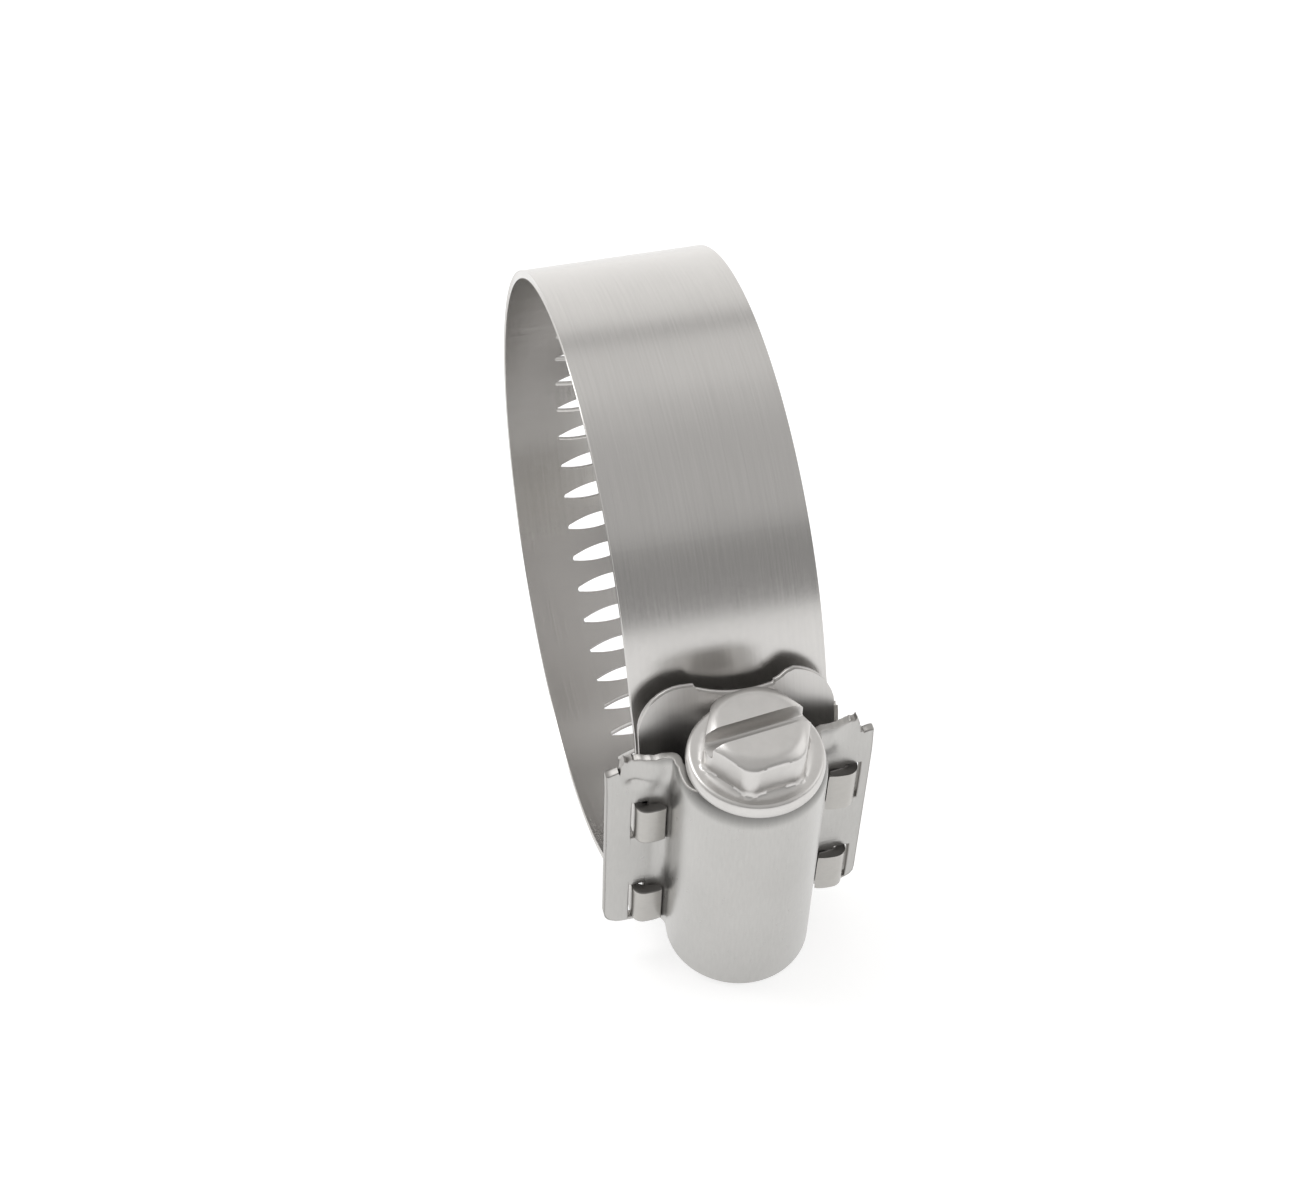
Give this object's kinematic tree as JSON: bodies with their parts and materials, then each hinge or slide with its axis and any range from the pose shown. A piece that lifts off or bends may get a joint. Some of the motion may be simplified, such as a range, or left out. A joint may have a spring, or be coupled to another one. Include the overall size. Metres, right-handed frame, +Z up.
{
  "type": "hose clamp",
  "caption": "Worm-drive hose clamp with a perforated stainless band, a stamped housing locked by folded tabs, and a slotted hex screw that tightens the loop.",
  "frame": {"origin": "centre of the bore, on the axis of the hose that the loop holds", "axes": "+Y along the hose; +Z up with the clamp standing on the bottom of its band and on the barrel's lower edge; +X towards the screw"},
  "size_m": [0.0531, 0.0178, 0.043],
  "materials": {
    "band": "satin rolled strip",
    "housing": "satin stamped sheet",
    "saddle": "satin stamped sheet",
    "screw": "cold-formed, semi-bright"
  },
  "bodies": {
    "root": {"housing": "housing", "saddle": "saddle", "band_root": "band"},
    "worm_screw": {"worm_screw": "screw"},
    "band_link_01": {"band_link_01": "band"},
    "band_link_02": {"band_link_02": "band"},
    "band_link_03": {"band_link_03": "band"},
    "band_link_04": {"band_link_04": "band"},
    "band_link_05": {"band_link_05": "band"},
    "band_tail": {"band_tail": "band"},
    "band_link_13": {"band_link_13": "band"},
    "band_link_12": {"band_link_12": "band"},
    "band_link_11": {"band_link_11": "band"},
    "band_link_10": {"band_link_10": "band"},
    "band_link_09": {"band_link_09": "band"},
    "band_link_08": {"band_link_08": "band"},
    "band_link_07": {"band_link_07": "band"},
    "band_link_06": {"band_link_06": "band"}
  },
  "joints": [
    {"name": "screw_turn", "type": "hinge", "parent": "root", "child": "worm_screw", "pos_m": [0.02344, 0, -0.01066], "axis": [-0.4139, 0, -0.9103], "range_deg": [0, 1440]},
    {"name": "loop_bend_01", "type": "hinge", "parent": "root", "child": "band_link_01", "pos_m": [0.02121, 0, 0.00057], "axis": [0, -1, 0], "range_deg": [0, 3.18]},
    {"name": "loop_bend_02", "type": "hinge", "parent": "band_link_01", "child": "band_link_02", "pos_m": [0.02068, 0, 0.00474], "axis": [0, -1, 0], "range_deg": [0, 2.6]},
    {"name": "loop_bend_03", "type": "hinge", "parent": "band_link_02", "child": "band_link_03", "pos_m": [0.0177, 0, 0.0117], "axis": [0, -1, 0], "range_deg": [0, 2.07]},
    {"name": "loop_bend_04", "type": "hinge", "parent": "band_link_03", "child": "band_link_04", "pos_m": [0.01246, 0, 0.01718], "axis": [0, -1, 0], "range_deg": [0, 1.67]},
    {"name": "loop_bend_05", "type": "hinge", "parent": "band_link_04", "child": "band_link_05", "pos_m": [0.00563, 0, 0.02046], "axis": [0, -1, 0], "range_deg": [0, 1.46]},
    {"name": "tail_draw", "type": "hinge", "parent": "root", "child": "band_tail", "pos_m": [0.00035, 0, 0.00136], "axis": [0, -1, 0], "range_deg": [0, 25.78]},
    {"name": "loop_bend_13", "type": "hinge", "parent": "band_tail", "child": "band_link_13", "pos_m": [-0.00376, 0, -0.02089], "axis": [0, 1, 0], "range_deg": [0, 2.27]},
    {"name": "loop_bend_12", "type": "hinge", "parent": "band_link_13", "child": "band_link_12", "pos_m": [-0.01086, 0, -0.01823], "axis": [0, 1, 0], "range_deg": [0, 2.02]},
    {"name": "loop_bend_11", "type": "hinge", "parent": "band_link_12", "child": "band_link_11", "pos_m": [-0.01657, 0, -0.01325], "axis": [0, 1, 0], "range_deg": [0, 1.83]},
    {"name": "loop_bend_10", "type": "hinge", "parent": "band_link_11", "child": "band_link_10", "pos_m": [-0.02017, 0, -0.00658], "axis": [0, 1, 0], "range_deg": [0, 1.71]},
    {"name": "loop_bend_09", "type": "hinge", "parent": "band_link_10", "child": "band_link_09", "pos_m": [-0.0212, 0, 0.00093], "axis": [0, 1, 0], "range_deg": [0, 1.65]},
    {"name": "loop_bend_08", "type": "hinge", "parent": "band_link_09", "child": "band_link_08", "pos_m": [-0.01952, 0, 0.00832], "axis": [0, 1, 0], "range_deg": [0, 1.59]},
    {"name": "loop_bend_07", "type": "hinge", "parent": "band_link_08", "child": "band_link_07", "pos_m": [-0.01535, 0, 0.01465], "axis": [0, 1, 0], "range_deg": [0, 1.53]},
    {"name": "loop_bend_06", "type": "hinge", "parent": "band_link_07", "child": "band_link_06", "pos_m": [-0.00923, 0, 0.01911], "axis": [0, 1, 0], "range_deg": [0, 1.45]}
  ],
  "couplings": [
    {"joint": "loop_bend_01", "follows": "screw_turn", "ratio": 0.0021737},
    {"joint": "loop_bend_02", "follows": "screw_turn", "ratio": 0.001769},
    {"joint": "loop_bend_03", "follows": "screw_turn", "ratio": 0.0013997},
    {"joint": "loop_bend_04", "follows": "screw_turn", "ratio": 0.001128},
    {"joint": "loop_bend_05", "follows": "screw_turn", "ratio": 0.00098024},
    {"joint": "tail_draw", "follows": "screw_turn", "ratio": 0.017872},
    {"joint": "loop_bend_13", "follows": "screw_turn", "ratio": 0.0015424},
    {"joint": "loop_bend_12", "follows": "screw_turn", "ratio": 0.0013685},
    {"joint": "loop_bend_11", "follows": "screw_turn", "ratio": 0.0012339},
    {"joint": "loop_bend_10", "follows": "screw_turn", "ratio": 0.001153},
    {"joint": "loop_bend_09", "follows": "screw_turn", "ratio": 0.0011087},
    {"joint": "loop_bend_08", "follows": "screw_turn", "ratio": 0.0010723},
    {"joint": "loop_bend_07", "follows": "screw_turn", "ratio": 0.0010246},
    {"joint": "loop_bend_06", "follows": "screw_turn", "ratio": 0.00097098}
  ]
}
